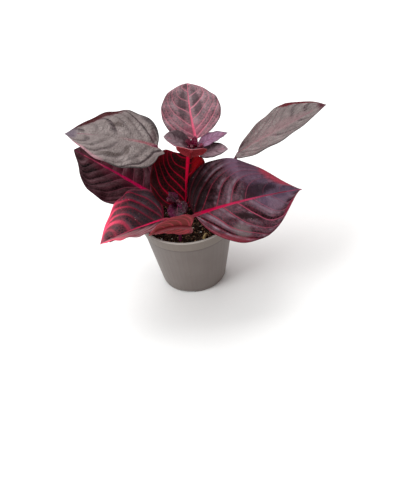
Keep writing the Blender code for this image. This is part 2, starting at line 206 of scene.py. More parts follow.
def addCamera():
    width, height = view["picture"]
    rise, roll = math.radians(view["rise"]), math.radians(view["roll"])
    forward = Vector((0, math.cos(rise), -math.sin(rise)))
    right, up = Vector((1, 0, 0)), Vector((0, math.sin(rise), math.cos(rise)))
    turnedRight = right * math.cos(roll) + up * math.sin(roll)
    turnedUp = up * math.cos(roll) - right * math.sin(roll)
    turn = Matrix((turnedRight, turnedUp, -forward)).transposed().to_4x4()
    data = bpy.data.cameras.new("camera")
    camera = addObject("camera", data)
    camera.matrix_world = Matrix.Translation(Vector(view["aim"]) - forward * view["distance"]) @ turn
    data.sensor_fit = "VERTICAL"
    data.sensor_height = data.sensor_width = view["sensor"]
    data.lens = view["pixelsPerMm"] * view["distance"] / mm * view["sensor"] / height
    data.shift_x = (width / 2 - view["aimPixel"][0]) / height
    data.shift_y = (view["aimPixel"][1] - height / 2) / height
    bpy.context.scene.camera = camera


studio = dict(
    sky=0.5, paint=0.6, lampAim=(0, 0, 0.05), floor=(0.86, 0.86, 0.855), floorReach=3, grain=3.0,
    grainTone=0.98, rough=0.9)
lamps = [  # name, place, size, watts, colour
    ("topBack", (-0.05, 0.5, 0.75), 0.9, 9.0, (1, 1, 1)),
    ("frontLeft", (-0.75, -0.35, 0.7), 0.55, 8.0, (0.98, 1, 1)),
    ("frontRight", (0.7, -0.6, 0.45), 0.6, 0.9, (1, 0.72, 0.64)),
]


def addStudio():
    bpy.context.scene.view_settings.view_transform = "Standard"
    world = bpy.data.worlds.new("studio")
    bpy.context.scene.world = world
    world.use_nodes = True
    sky = world.node_tree.nodes["Background"]
    sky.inputs[0].default_value = (1, 1, 1, 1)
    sky.inputs[1].default_value = studio["sky"]
    for name, place, size, watts, colour in lamps:
        data = bpy.data.lights.new(name, "AREA")
        data.energy, data.size, data.color = watts, size, colour
        lamp = addObject(name, data)
        lamp.location = place
        lamp.rotation_euler = (Vector(place) - Vector(studio["lampAim"])).to_track_quat("Z", "Y").to_euler()
    reach = studio["floorReach"]
    mesh = bpy.data.meshes.new("floor")
    mesh.from_pydata([(-reach, -reach, 0), (reach, -reach, 0), (reach, reach, 0), (-reach, reach, 0)], [],
                     [(0, 1, 2, 3)])
    floor = addObject("floor", mesh)
    paper = Finish("palePaper")
    tone = paper.colour(paper.speckle(studio["grain"], 4), studio["floor"],
                        [c * studio["grainTone"] for c in studio["floor"]])
    floor.data.materials.append(paper.finish(tone, studio["rough"]))


addCamera()
addStudio()
print("camera and studio set")


# leaves: lengths in mm, angles in degrees, u from the stalk to the tip, v from -1 to 1 across

blade = dict(
    grid=(100, 60), smallGrid=(60, 40), smallUnder=30, tipGrid=(36, 24), steps=320, thick=0.5,
    thinMargin=0.65, rim=0.12, minHalf=0.35, lobeReach=0.15, puffSize=14, grainSize=3.2, crumpleSize=8,
    groove=0.35, grooveWidth=0.9)
stalkForm = dict(
    steps=18, leaving=0.4, arriving=0.45, rootThick=1.15, thinning=0.15, sunk=0.6, climb=0.6, ribSteps=20,
    ribEnd=0.86, ribTip=0.3, ribDepth=0.36)
leafHabit = dict(
    bend=0, droop=-20, roll=0, twist=0, fold=12, skew=0, curlLeft=-6, curlRight=-6, widest=0.42,
    widestMore=0.0, taper=1.0, lobe=1.5, lobeMore=0.0, wave=0.7, waves=4, stalk=1.0, uneven=0, veins=7,
    reach=0.5, tilt=0.0, sweep=0.1, lean=0.3, ribAside=0.0, drift=0.22, puff=0.3, pucker=0.12,
    crumple=0.0, seed=1, pulls=())


def midribLine(leaf):
    share = np.linspace(0, 1, blade["steps"] + 1)
    turn = np.radians(leaf.heading + leaf.bend * share)
    rise = np.radians(leaf.pitch + leaf.droop * share)
    along = np.stack([np.cos(rise) * np.cos(turn), np.cos(rise) * np.sin(turn), np.sin(rise)], 1)
    walk = np.vstack([np.zeros(3), np.cumsum(along[1:], 0) * leaf.length / blade["steps"]])
    place = np.array(leaf.base, float) + walk
    side = np.stack([-np.sin(turn), np.cos(turn), np.zeros_like(turn)], 1)
    lift = np.cross(along, side)
    roll = np.radians(leaf.roll + leaf.twist * share)[:, None]
    return (share, place, along, side * np.cos(roll) + lift * np.sin(roll),
            lift * np.cos(roll) - side * np.sin(roll))


def alongLine(line, u):
    share = line[0]
    return [np.stack([np.interp(u, share, part[:, k]) for k in range(3)], -1) for part in line[1:]]


def halfWidth(leaf, u, hand):
    peak = leaf.widest + leaf.widestMore * hand
    low = np.sqrt(np.clip(1 - (np.clip(peak - u, 0, None) / peak) ** 2.4, 0, None))
    high = np.clip(1 - (np.clip(u - peak, 0, None) / (1 - peak)) ** 2, 0, None) ** leaf.taper
    return leaf.width / 2 * (1 + leaf.uneven * hand) * np.where(u < peak, low, high)


def wobble(u, v, size, seed):  # a slow random value over the blade
    flat = [noise.noise((a * size, b * size * 0.6, seed * 7.3)) for a, b in zip(u.ravel(), v.ravel())]
    return np.array(flat).reshape(u.shape)


def veinField(leaf, u, v, hand):  # counts the side veins: half numbers lie on a vein
    w = np.abs(v)
    arch = leaf.lean * w + (1 - leaf.lean) * (0.45 * w ** 2 + 0.55 * w ** 4)
    first, grow = leaf.reach + leaf.tilt * hand, leaf.sweep
    middle = 1 + grow * arch
    root = np.sqrt(np.clip(middle ** 2 - 4 * (first + grow) * arch * (u - first * arch), 0.01, None))
    start = 2 * (u - first * arch) / (middle + root)
    drift = leaf.drift * wobble(u, v, 3.0, leaf.seed + hand)
    return leaf.veins * np.sign(start) * np.abs(start) ** 0.92 + 0.25 * hand + drift


def veinGap(leaf, u, out, phase):  # mm from one vein to the next
    acrossStep = np.gradient(phase, axis=1) / np.gradient(out, axis=1)
    alongStep = np.gradient(phase, axis=0) - np.gradient(out, axis=0) * acrossStep
    alongStep = alongStep / np.gradient(u * leaf.length, axis=0)
    return 1 / np.hypot(alongStep, acrossStep).clip(0.02)


def bladeSpots(leaf, u, v, hand, half, phase, size):  # points of the blade's middle surface
    def lumps(width, more):
        return wobble(u * leaf.length / width, v * half / width / 0.6, 1.0, leaf.seed + more)

    place, along, side, lift = alongLine(midribLine(leaf), u)
    full = leaf.width / 2 * (1 + leaf.uneven * hand)
    out, shape = np.abs(v) * half, half / full
    start = np.radians(leaf.fold + leaf.skew * hand)
    curl = np.radians(np.where(v > 0, leaf.curlLeft, leaf.curlRight) + 0.01) / full
    across = (np.sin(start + curl * out) - np.sin(start)) / curl
    up = (np.cos(start) - np.cos(start + curl * out)) / curl
    lobe = leaf.lobe + np.where(v > 0, leaf.lobeMore, 0)
    back = lobe * v * v * shape * np.exp(-u / blade["lobeReach"])
    for centreU, centreOut, reachU, reachOut, amount in leaf.pulls:  # drawn towards the stalk
        near = ((u - centreU) / reachU) ** 2 + ((out * hand - centreOut) / reachOut) ** 2
        back = back + amount * np.exp(-near)
    ripple = leaf.wave * np.abs(v) ** 3 * shape * np.sin(2 * math.pi * leaf.waves * u + 1.7 * hand)
    away = np.abs(phase - np.floor(phase) - 0.5)  # 0 on a vein, 0.5 half way to the next
    edge = np.clip(out / 2.5, 0, 1) * np.clip((half - out) / 3.0, 0, 1) ** 0.7
    uneven = np.clip(0.7 + 1.6 * lumps(blade["puffSize"], 3), 0.1, 1.6)
    puff = leaf.puff * uneven * np.sin(math.pi * away) ** 2 * edge * np.clip(size / 5, 0.05, 1.3)
    groove = blade["groove"] * np.exp(-(out / blade["grooveWidth"]) ** 2) * (1 - u)
    groove = groove * np.clip(leaf.length / 50, 0.2, 1)
    grain = leaf.pucker * lumps(blade["grainSize"], 5) * edge
    crumple = leaf.crumple * lumps(blade["crumpleSize"], 9) * edge
    rise = up + ripple + puff - groove + grain + crumple
    return place + side * (hand * across)[..., None] + lift * rise[..., None] - along * back[..., None]


def bladeMesh(name, leaf, grid):
    rows, columns = grid
    u = (1 - np.cos(np.pi * np.arange(rows + 1) / rows)) / 2
    v = 2 * np.arange(columns + 1) / columns - 1
    u, v = np.meshgrid(u, v, indexing="ij")
    hand = np.where(v > 0, 1, -1)
    half = np.maximum(np.where(v > 0, halfWidth(leaf, u, 1), halfWidth(leaf, u, -1)), blade["minHalf"])
    out = np.abs(v) * half
    phases = [veinField(leaf, u, v, side) for side in (-1, 1)]
    gaps = [veinGap(leaf, u, v * half, phase) for phase in phases]
    phase, size = [np.where(v > 0, plus, minus) for minus, plus in (phases, gaps)]
    spot = bladeSpots(leaf, u, v, hand, half, phase, size)
    normal = np.cross(np.gradient(spot, axis=0), np.gradient(spot, axis=1))
    normal /= np.linalg.norm(normal, axis=2)[..., None]
    thinMargin = blade["thinMargin"]
    thick = blade["thick"] * (thinMargin + (1 - thinMargin) * np.clip((half - out) / 2, 0, 1)) / 2
    shift = normal * thick[..., None]
    count = (rows + 1) * (columns + 1)
    index = np.arange(count).reshape(rows + 1, columns + 1)
    loop = np.concatenate([index[0, :-1], index[:-1, -1], index[-1, :0:-1], index[:0:-1, 0]])  # the margin
    inward = np.zeros_like(spot)
    inward[:, 0], inward[:, -1] = spot[:, 1] - spot[:, 0], spot[:, -2] - spot[:, -1]
    inward[0, 1:-1], inward[-1, 1:-1] = spot[1, 1:-1] - spot[0, 1:-1], spot[-2, 1:-1] - spot[-1, 1:-1]
    flatIn = inward.reshape(-1, 3)[loop]
    flatIn /= np.linalg.norm(flatIn, axis=1)[:, None] + 1e-9
    rim = spot.reshape(-1, 3)[loop] - flatIn * blade["rim"]
    points = np.vstack([(spot + shift).reshape(-1, 3), (spot - shift).reshape(-1, 3), rim])
    top = np.stack([index[:-1, :-1], index[1:, :-1], index[1:, 1:], index[:-1, 1:]], -1).reshape(-1, 4)
    after = np.roll(loop, -1)
    ring = 2 * count + np.arange(len(loop))
    ringAfter = np.roll(ring, -1)
    upperRim = np.stack([loop, ring, ringAfter, after], -1)[:, ::-1]
    lowerRim = np.stack([ring, loop + count, after + count, ringAfter], -1)[:, ::-1]
    faces = np.vstack([top, top[:, ::-1] + count, upperRim, lowerRim])
    mesh = bpy.data.meshes.new(name)
    mesh.from_pydata((points * mm).tolist(), [], faces.tolist())
    topLeft = np.broadcast_to(np.arange(columns) >= columns // 2, (rows, columns)).ravel()
    rimLeft = (v.ravel()[loop] + v.ravel()[after]) > 0
    left = np.concatenate([topLeft, topLeft, rimLeft, rimLeft])
    spots = np.concatenate([np.arange(count), np.arange(count), loop])  # grid point of each vertex
    fields = np.stack([np.stack([phase.ravel(), gap.ravel(), (out * hand).ravel()], -1)
                       for phase, gap in zip(phases, gaps)])
    veinPlace = fields[np.repeat(left.astype(int), 4), spots[faces.ravel()]]
    upper = np.concatenate([np.ones(count), np.zeros(count), np.full(len(loop), 0.5)])
    leafPlace = np.stack([u.ravel()[spots], np.abs(v).ravel()[spots], upper], -1)
    for key, domain, values in (("veinPlace", "CORNER", veinPlace), ("leafPlace", "POINT", leafPlace)):
        mesh.attributes.new(key, "FLOAT_VECTOR", domain).data.foreach_set("vector", values.ravel())
    mesh.shade_smooth()
    return mesh


def smoothLine(points, steps):  # a Catmull-Rom curve
    points = [Vector(p) for p in points]
    ends = [2 * points[0] - points[1]] + points + [2 * points[-1] - points[-2]]
    found = []
    for i in range(steps + 1):
        at = (len(points) - 1) * i / steps
        k = min(int(at), len(points) - 2)
        t = at - k
        a, b, c, d = ends[k:k + 4]
        found.append(0.5 * (2 * b + (c - a) * t + (2 * a - 5 * b + 4 * c - d) * t ** 2
                            + (3 * b - a - 3 * c + d) * t ** 3))
    return found


def roundStemRecipe():  # sweeps a circle along a line, with fine ridges
    made = Recipe("roundStem", Sides=12, Ridge=0.04, RidgeSize=2.0)
    path, sides, ridge, size = [made.given(name) for name in ("Geometry", "Sides", "Ridge", "RidgeSize")]
    ring = made.wire("GeometryNodeCurvePrimitiveCircle", None, {"Resolution": sides, "Radius": mm})
    swept = made.wire("GeometryNodeCurveToMesh", None, {0: path, 1: ring, "Fill Caps": True})
    uneven = made.wire("ShaderNodeTexNoise", None, {"Scale": size / mm * 0.2, "Detail": 2.0})
    lift = (uneven - 0.5) * ridge * mm
    normal = made.wire("GeometryNodeInputNormal")
    moved = made.wire("GeometryNodeSetPosition", None, {0: swept, "Offset": made.scaled(normal, lift)})
    made.end(made.wire("GeometryNodeSetShadeSmooth", None, {0: moved}))
    return made


roundStem = roundStemRecipe()


def tube(name, points, radii, material, sides=12, ridge=0.05):
    curve = bpy.data.curves.new(name, "CURVE")
    curve.dimensions = "3D"
    spline = curve.splines.new("POLY")
    spline.points.add(len(points) - 1)
    for spot, point, radius in zip(spline.points, points, radii):
        spot.co = (*(Vector(point) * mm), 1)
        spot.radius = radius
    mesh = roundStem.run(addObject(name, curve), Sides=sides, Ridge=ridge, Material=material)
    bm = bmesh.new()
    bm.from_mesh(mesh)
    bmesh.ops.remove_doubles(bm, verts=bm.verts, dist=0.001 * mm)
    bmesh.ops.recalc_face_normals(bm, faces=bm.faces)
    bm.to_mesh(mesh)
    bm.free()
    return mesh


def stalkLine(leaf, start, away):  # the stalk from its stem to the blade, then the rib under the blade
    line = midribLine(leaf)
    thick = leaf.stalk
    points, radii = [], []
    base, along = Vector(line[1][0]), Vector(line[2][0])
    reach = (base - start).length
    rise = math.radians(getattr(leaf, "approach", leaf.pitch))
    level = Vector((along.x, along.y, 0)).normalized()
    arrive = level * math.cos(rise) + Vector((0, 0, math.sin(rise)))
    first = start + away * reach * stalkForm["leaving"]
    second = base - arrive * reach * stalkForm["arriving"]
    for i in range(stalkForm["steps"]):
        t = i / stalkForm["steps"]
        points.append(start * (1 - t) ** 3 + first * 3 * t * (1 - t) ** 2
                      + second * 3 * t * t * (1 - t) + base * t ** 3)
        radii.append(thick * (stalkForm["rootThick"] - stalkForm["thinning"] * t))
    for i in range(stalkForm["ribSteps"] + 1):
        share = i / stalkForm["ribSteps"]
        place, _, side, lift = alongLine(line, np.array([stalkForm["ribEnd"] * share]))
        radius = thick + (stalkForm["ribTip"] - thick) * share ** 0.7
        aside = Vector(side[0]) * leaf.ribAside - Vector(lift[0]) * (radius + stalkForm["ribDepth"])
        points.append(Vector(place[0]) + aside * min(share * 10, 1))
        radii.append(radius)
    return points, radii


def shade(red, green, blue):  # a paint that looks about like this screen colour in the studio light
    return tuple((c / 255) ** 2.2 * studio["paint"] for c in (red, green, blue))


# a tint is a soft patch: its middle and its reach in u and v, its colour, its amount and, for some, a slant;
# several tints below are painted shade, highlights, sheen and glow, as marked at each leaf
# the panel and crease colours are painted light and painted shade on the puffs between the veins
leafLook = dict(
    dark=(48, 28, 30), light=(82, 58, 62), panel=(98, 78, 80), crease=(28, 14, 18), vein=(130, 60, 78),
    veinFar=(150, 80, 100), rib=(190, 15, 65), ribTip=(150, 50, 80), edge=(110, 35, 55), under=(112, 40, 56),
    underVein=(150, 50, 78), stalk=(165, 20, 60), veinWidth=0.45, veinSwell=-0.3, veinStart=1.0, veinEnd=0.5,
    ribWidth=1.6, ribTaper=0.75, ribFrom=0.5, ribTo=1.0, ribEnd=0.7, halo=0.2, edgeWidth=0.03,
    panelShare=0.6, creaseShare=0.6, mottle=1.0, net=0.3, wrinkle=0.2, relief=0.3, rough=0.5, shine=0.15,
    dust=0.0, web=0.0, lastVein=4.0, veinLeft=1.0, veinRight=1.0, veinTurn=0.0, firstVein=-9.0, tints=())
leafGrain = dict(
    patch=9.0, middle=2.2, fine=0.7, net=1.7, wrinkle=7.0, web=4.5, dust=1.3, dustTone=(190, 180, 172))


def leafFinish(name, values):
    look = SimpleNamespace(**values)
    paint = SimpleNamespace(**{key: shade(*value) for key, value in values.items()
                               if isinstance(value, tuple) and key != "tints"})
    made = Finish(name)
    phase, size, across = made.attribute("veinPlace")
    u, w, upper = made.attribute("leafPlace")
    hand = across.sign()
    offset = phase.fract() - 0.5  # 0 on a vein, more towards the next one
    chance = made.wire("ShaderNodeTexWhiteNoise", {"noise_dimensions": "1D"},
                       {"W": phase.floor() + hand * 20})
    patch = made.speckle(leafGrain["patch"], 3)
    middle = made.speckle(leafGrain["middle"], 3, 0.6)
    fine = made.speckle(leafGrain["fine"], 3, 0.65)

    # veins and midrib
    distance = abs(offset) * size
    width = (1 - w * 0.45) * (1 + u * look.veinSwell) * (chance * 0.5 + 0.75) * look.veinWidth
    strength = (w.rise(0.1, 1.0, look.veinStart, look.veinEnd) * (chance * 0.35 + 0.65)
                * middle.rise(0.3, 0.55, 0.6, 1) * phase.rise(look.lastVein - 1, look.lastVein + 1, 1, 0.3)
                * hand.rise(-1, 1, look.veinRight, look.veinLeft)
                * phase.rise(look.firstVein - 0.6, look.firstVein + 0.2, 0.25, 1))
    vein = (distance / width).rise(0.3, 1.4, 1, 0) * strength
    glow = (distance / (width * 4)).rise(0, 1, 1, 0) * strength * look.halo
    veinColour = made.colour(u.rise(look.veinTurn, 0.8), paint.vein, paint.veinFar)
    rib = (abs(across) / ((1 - u * look.ribTaper) * look.ribWidth / 2)).rise(0.6, 1.3, 1, 0)
    rib = rib * u.rise(look.ribFrom, look.ribTo, 1, look.ribEnd)
    ribColour = made.colour(u.rise(0.1, 0.9), paint.rib, paint.ribTip)

    # the blade between them, with painted shade on the tip side of each vein and painted light on the puff
    # before the next vein, standing for the puffed relief
    crease = offset.rise(0.0, 0.07) * offset.rise(0.18, 0.45, 1, 0) * w.rise(0.05, 0.3) * look.creaseShare
    litBand = (offset.rise(-0.45, -0.28) * offset.rise(-0.16, -0.03, 1, 0) * look.panelShare
              * patch.rise(0.38, 0.6))
    cell = made.cracks(leafGrain["net"])
    mottle = (patch - 0.5) * 1.6 * look.mottle + (fine + middle) * 0.45
    body = made.colour(mottle, paint.dark, paint.light)
    body = made.colour(litBand * (chance * 0.6 + 0.4), body, paint.panel)
    body = made.colour(crease * chance.rise(0.1, 0.7, 0.4, 1.2), body, paint.crease)
    body = made.colour(cell.rise(0.02, 0.2, 1, 0) * look.net * middle, body, veinColour)
    # wrinkle lines: a bump, and painted shade in the dark fold colour
    bent = abs(made.speckle(leafGrain["wrinkle"], 2, 0.5, 1.5) - 0.5).rise(0.0, 0.035, 1, 0)
    bent = bent * patch.rise(0.42, 0.56)
    body = made.colour(bent * look.wrinkle, body, paint.crease)
    if look.web:
        web = made.cracks(leafGrain["web"]).rise(0.02, 0.1, 1, 0) * w.rise(0.3, 0.8) * u.rise(0.2, 0.6)
        body = made.colour(web * look.web, body, veinColour)
    margin = (w + (fine - 0.5) * 0.04).rise(1 - 2 * look.edgeWidth, 1 - 0.3 * look.edgeWidth)
    body = made.colour(margin * 0.8, body, paint.edge)
    for centreU, centreV, reachU, reachV, colour, amount, *slant in look.tints:
        level = (u - centreU) * slant[0] + centreV if slant else centreV
        far = (((u - centreU) / reachU) ** 2 + ((w * hand - level) / reachV) ** 2) ** 0.5
        body = made.colour((far + (middle - 0.5) * 0.5).rise(0.45, 1.05, amount, 0), body, shade(*colour))
    body = made.colour(glow, body, veinColour)
    body = made.colour(vein, body, veinColour)
    body = made.colour(rib, body, ribColour)
    if look.dust:
        lucky, far = made.cells(leafGrain["dust"])
        dot = far.rise(0.1, 0.2, 1, 0) * lucky.rise(1 - look.dust, 1)
        body = made.colour(dot * patch.rise(0.45, 0.6), body, shade(*leafGrain["dustTone"]))

    # its underside
    below = made.colour((fine + middle) * 0.6, paint.under, [c * 0.6 for c in paint.under])
    below = made.colour((distance / (width * 1.5)).rise(0.4, 1.4, 0.7, 0), below, paint.underVein)
    below = made.colour(w.rise(1 - 2 * look.edgeWidth, 1) * 0.7, below, paint.edge)
    relief = fine * 0.5 + middle + cell.rise(0, 0.4) * 0.6 * look.net
    relief = relief - vein * 0.5 - bent * look.wrinkle * 2
    return made.finish(made.colour(upper.rise(0.3, 0.7), below, body),
                       look.rough + (fine - 0.5) * 0.25 + vein * 0.05, relief, look.relief, look.shine)


def stalkFinish(name, colour):
    made = Finish(name)
    streak = made.speckle(1.2, 2)
    colour = shade(*colour)
    tone = made.colour(streak, [c * 0.6 for c in colour], [min(c * 1.4, 1) for c in colour])
    return made.finish(tone, 0.38 + streak * 0.15, streak, depth=0.08, shine=0.4)


# joints are the heights of its leaves, and turns are the heights between which foot goes over to top
tallStem = dict(
    line=[(2, 11, 16), (2, 11, 43), (2.6, 11.6, 55), (3.4, 12.2, 65), (4.6, 12.8, 73.5), (6.4, 13.2, 79.5),
          (8.9, 12.9, 85.1)], radii=(1.75, 1.15), joints=(48, 49, 51, 55, 66, 78, 83, 84),
    paint="crimsonStem", foot=(0.2, 0.02, 0.05), top=(0.6, 0.01, 0.06), turns=(46, 66))
shortStem = dict(
    line=[(-6, -20, 26), (-6, -20, 43), (-5.4, -19.8, 50), (-4.6, -19.4, 57), (-4.2, -19, 63),
          (-4.3, -18.7, 69.4)], radii=(1.45, 1.0), joints=(51, 54, 54.5, 57),
    paint="purpleStem", foot=(0.15, 0.014, 0.065), top=(0.4, 0.02, 0.07), turns=(46, 62))


def stemPoint(stem, height):
    return min(smoothLine(stem["line"], 120), key=lambda point: abs(point.z - height))


def stemRadius(stem, height):
    low, high = stem["line"][1][2], stem["line"][-1][2]
    part = min(max((height - low) / (high - low), 0), 1)
    return stem["radii"][0] + (stem["radii"][1] - stem["radii"][0]) * part


def growLeaf(name, node, stem, own, look):
    leaf = SimpleNamespace(**{**leafHabit, **own})
    centre = stemPoint(stem, leaf.joins)
    toward = Vector(leaf.base) - centre
    toward.z = 0
    toward.normalize()
    start = centre + toward * stemRadius(stem, leaf.joins) * stalkForm["sunk"]
    away = (toward + Vector((0, 0, stalkForm["climb"]))).normalized()
    sheet = bladeMesh(name, leaf, blade["smallGrid" if leaf.length < blade["smallUnder"] else "grid"])
    sheet.materials.append(leafFinish(name, look))
    stalk = tube(name + "Stalk", *stalkLine(leaf, start, away), stalkFinish(name + "Stalk", look["stalk"]))
    settle(joined(name, [sheet, stalk]), node)


# a grey veil over dark red leaves that face up: painted reflection of the bright sky, in place of most of
# their gloss
sheenGreyLook = dict(
    leafLook, dark=(109, 100, 98), light=(166, 154, 151), panel=(172, 160, 157), crease=(68, 58, 60),
    vein=(130, 108, 110), veinFar=(140, 118, 120), rib=(188, 120, 132), ribTip=(150, 130, 130),
    edge=(62, 56, 57), under=(150, 88, 98), underVein=(175, 85, 105), stalk=(120, 30, 66), veinWidth=0.3,
    veinStart=0.3, veinEnd=0.15, ribWidth=1.2, ribFrom=0.1, ribTo=0.55, ribEnd=0.1, halo=0.05,
    panelShare=0.4, mottle=0.9, shine=0.12, net=0.7, relief=0.4, wrinkle=0.25)
growLeaf("upperLeftLeaf", "leaf_upper_left", tallStem, dict(
    base=(-12.9, 11.7, 91.3), joins=66, approach=95, heading=175, pitch=26, length=56.5, width=50,
    uneven=0.03, bend=-12, droop=-30, roll=-7, twist=6, fold=9, skew=1, curlLeft=-17, curlRight=-8,
    widest=0.36, taper=1.16, lobe=5.5, lobeMore=1.6, stalk=1.15, drift=0.5,
    pulls=((0.006, 4.2, 0.02, 3.6, 4.2),), puff=0.4, pucker=0.3, crumple=1.3, veins=6, seed=2), dict(
    sheenGreyLook, dark=(118, 107, 105), light=(176, 163, 160), panel=(182, 169, 166), creaseShare=0.9,
    relief=0.5, wrinkle=0.32, ribEnd=0, ribTo=0.46, rib=(176, 112, 120), ribWidth=2.9,
    tints=((0.74, -1.06, 0.4, 0.42, (112, 58, 70), 0.6), (0.78, -1.04, 0.44, 0.3, (74, 6, 20), 3.0),
           # the grey-brown tints (84, 68, 64), (84, 70, 66) and (84, 50, 58) are painted shade in the folds
           # and near the base, and (205, 150, 160) is a painted highlight along the pink lower margin
           (0.45, -0.44, 0.07, 0.11, (84, 68, 64), 0.7), (0.31, 0.42, 0.035, 0.2, (84, 70, 66), 0.65),
           (0.46, 0.68, 0.16, 0.08, (84, 70, 66), 0.7, 0.9), (0.06, -0.45, 0.05, 0.42, (84, 50, 58), 0.6),
           (0.72, 1.02, 0.25, 0.16, (205, 150, 160), 0.8), (0.97, 0, 0.14, 1.3, (112, 96, 112), 0.8),
           (0.04, -0.95, 0.24, 0.22, (62, 50, 54), 0.8))))
growLeaf("upperRightLeaf", "leaf_upper_right", tallStem, dict(
    base=(36, 28, 66.8), joins=55, approach=66, heading=-3, pitch=32, length=62.5, width=47, uneven=-0.03,
    bend=7, droop=-12, roll=-14, twist=12, fold=10, skew=-2, curlLeft=-2, curlRight=-8, widest=0.43,
    widestMore=0.13, taper=1.1, lobe=1, wave=0.35, stalk=1.1, pucker=0.3, crumple=0.6,
    pulls=((0.74, 19, 0.2, 9, 5.0),), seed=3), dict(
    sheenGreyLook, ribEnd=0.35, rib=(182, 126, 134), ribWidth=2.4, veinStart=0.6, veinEnd=0.4,
    vein=(156, 104, 112), mottle=1.8, net=1.1, relief=0.6, creaseShare=0.8,
    tints=((0.84, 1.05, 0.34, 0.27, (104, 6, 30), 3.0), (1, 0, 0.1, 2, (88, 14, 40), 0.95),
           (0.45, 0, 0.5, 0.35, (160, 124, 128), 0.5), (0.01, 0.7, 0.09, 0.5, (66, 24, 40), 0.9))))

wineLook = dict(
    leafLook, dark=(38, 16, 20), light=(70, 42, 47), panel=(86, 64, 66), crease=(22, 7, 11),
    vein=(122, 62, 78), veinFar=(110, 84, 90), rib=(172, 18, 78), ribTip=(120, 40, 70), edge=(66, 34, 44),
    veinWidth=0.4, panelShare=0.45, creaseShare=0.5, shine=0.03,
    tints=((0.45, 0, 0.65, 0.35, (84, 24, 42), 0.6), (0.08, -0.7, 0.12, 0.4, (112, 66, 82), 0.6)))
growLeaf("middleLeftLeaf", "leaf_middle_left", tallStem, dict(
    base=(-20.7, 15, 54.9), joins=51, heading=145, pitch=20, length=56.5, width=44, uneven=0.03, bend=4,
    droop=1, roll=-6, twist=-12, fold=13, curlLeft=-18, curlRight=-10, widest=0.4, taper=0.94, lobe=12,
    stalk=1.1, puff=0.6, crumple=1.1, drift=0.5, pulls=((0.9, 9, 0.16, 8, 2.2),), seed=4), dict(
    wineLook, ribWidth=2.8, dark=(40, 12, 18), light=(94, 58, 65), panel=(120, 92, 98), relief=0.5,
    panelShare=0.75, creaseShare=1.2, crease=(18, 2, 5), mottle=1.4, vein=(136, 60, 80), rib=(200, 10, 82)))
growLeaf("middleRightLeaf", "leaf_middle_right", tallStem, dict(
    base=(12, 18, 53.5), joins=48, heading=50, pitch=-10, length=32, width=26, droop=-24, roll=2, fold=8,
    curlLeft=-8, curlRight=-10, stalk=0.9, seed=5), wineLook)
growLeaf("lowBackLeaf", "leaf_low_back", tallStem, dict(
    base=(0.5, 23, 54.5), joins=49, heading=98, pitch=0, length=38, width=32, droop=-36, fold=9,
    curlLeft=-10, curlRight=-10, stalk=0.9, seed=6), wineLook)

youngLook = dict(
    leafLook, dark=(94, 74, 81), light=(154, 136, 141), panel=(172, 150, 157), crease=(66, 42, 50),
    vein=(230, 132, 152), veinFar=(220, 138, 154), rib=(250, 104, 138), ribTip=(226, 124, 146),
    edge=(88, 48, 62), under=(110, 28, 48), underVein=(150, 40, 70), stalk=(172, 34, 88), veinWidth=0.55,
    veinEnd=0.8, ribWidth=2.1, ribEnd=0.9, edgeWidth=0.025, net=0.6, lastVein=9)
growLeaf("topBackLeaf", "leaf_top_back", tallStem, dict(
    base=(11.2, 23.4, 84.9), joins=78, approach=62, heading=97, pitch=30, length=41.5, width=37.5,
    uneven=-0.02, bend=-12, droop=-15, roll=-5, twist=13, fold=18, skew=-1, curlLeft=-4, curlRight=-10,
    widest=0.43, taper=0.86, lobe=0.5, stalk=1.2, puff=0.4, crumple=0.3, veins=5, reach=0.62, sweep=0.05,
    lean=0.4, seed=7), dict(
    youngLook, veinEnd=0.55, mottle=1.4,
    tints=((0.58, 0.28, 0.34, 0.22, (64, 42, 50), 0.75), (0.58, -0.28, 0.34, 0.22, (64, 42, 50), 0.75),
           (0.02, 0, 0.3, 0.7, (150, 50, 84), 0.55))))
growLeaf("topFrontLeaf", "leaf_top_front", tallStem, dict(
    base=(6.5, 2.3, 87.4), joins=84, approach=0, heading=272, pitch=64, length=20.5, width=18.5, uneven=0.04,
    bend=4, droop=-34, roll=-14, fold=9, curlLeft=4, curlRight=6, widest=0.43, taper=0.85, lobe=1.4,
    wave=0.15, stalk=0.7, veins=5, puff=0.15, pucker=0.06, seed=8), dict(
    youngLook, under=(174, 58, 66), underVein=(190, 70, 78), edge=(206, 104, 108), stalk=(150, 30, 42),
    shine=0.05))

budLook = dict(
    youngLook, dark=(100, 70, 82), light=(156, 126, 137), panel=(164, 134, 145), crease=(60, 34, 44),
    vein=(112, 76, 90), veinFar=(120, 84, 98), rib=(124, 84, 98), ribTip=(124, 92, 104), veinStart=0.35,
    veinEnd=0.25, veinWidth=0.25, ribWidth=0.7)
growLeaf("topLeftLeaf", "leaf_top_left", tallStem, dict(
    base=(6.1, 14, 85.8), joins=83.5, heading=172, pitch=44, length=17, width=17, droop=-23, roll=1,
    twist=-7, fold=16, curlLeft=-3, curlRight=-5, taper=0.79, wave=0.12, stalk=0.9, veins=5, puff=0.15,
    pucker=0.06, seed=9), dict(
    budLook, dark=(112, 84, 94), light=(192, 166, 172), mottle=1.6,
    tints=((0.4, -0.7, 0.6, 0.6, (48, 20, 32), 0.75), (0.08, 0, 0.3, 0.9, (72, 22, 40), 0.85),
           (0.5, 1, 0.5, 0.14, (196, 116, 140), 0.8))))
growLeaf("topRightLeaf", "leaf_top_right", tallStem, dict(
    base=(12.4, 10.5, 82.9), joins=82.5, heading=-7, pitch=18, length=17.2, width=14, twist=6, fold=10,
    curlLeft=-11, curlRight=-12, taper=0.84, lobe=1, wave=0.12, stalk=0.9, veins=5, puff=0.12, pucker=0.05,
    seed=10), dict(
    budLook, edge=(48, 22, 34), edgeWidth=0.13, dark=(128, 98, 108), light=(190, 160, 168),
    tints=((0.05, 0.8, 0.35, 0.4, (62, 32, 44), 0.8), (0.6, 1, 0.5, 0.22, (58, 28, 42), 0.7))))

